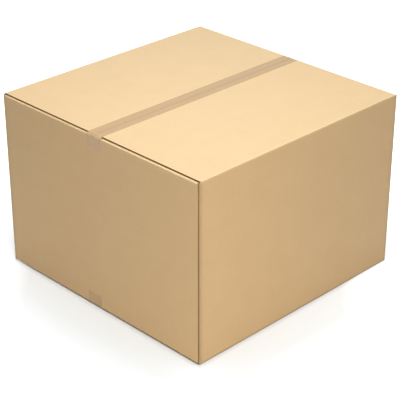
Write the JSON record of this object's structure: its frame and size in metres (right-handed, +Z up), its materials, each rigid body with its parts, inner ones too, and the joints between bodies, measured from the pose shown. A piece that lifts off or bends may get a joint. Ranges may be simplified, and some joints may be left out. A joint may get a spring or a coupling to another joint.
{
  "type": "closed cardboard box",
  "caption": "Closed shipping carton of single-wall corrugated board, folded from one blank and taped shut along the top and bottom seams.",
  "frame": {"origin": "under the middle of the box, in the plane of the bottom tape's underside, on which it rests", "axes": "+Z up, X along the taped seams from one end wall to the other, Y from one side wall to the other; the glued corner is at -X, -Y"},
  "size_m": [0.7082, 0.708, 0.487],
  "materials": {
    "kraft_board": "matt natural brown kraft liner",
    "packing_tape": "satin buff film"
  },
  "bodies": {
    "root": {"carton": "kraft_board", "top_tape": "packing_tape", "bottom_tape": "packing_tape"}
  },
  "joints": []
}
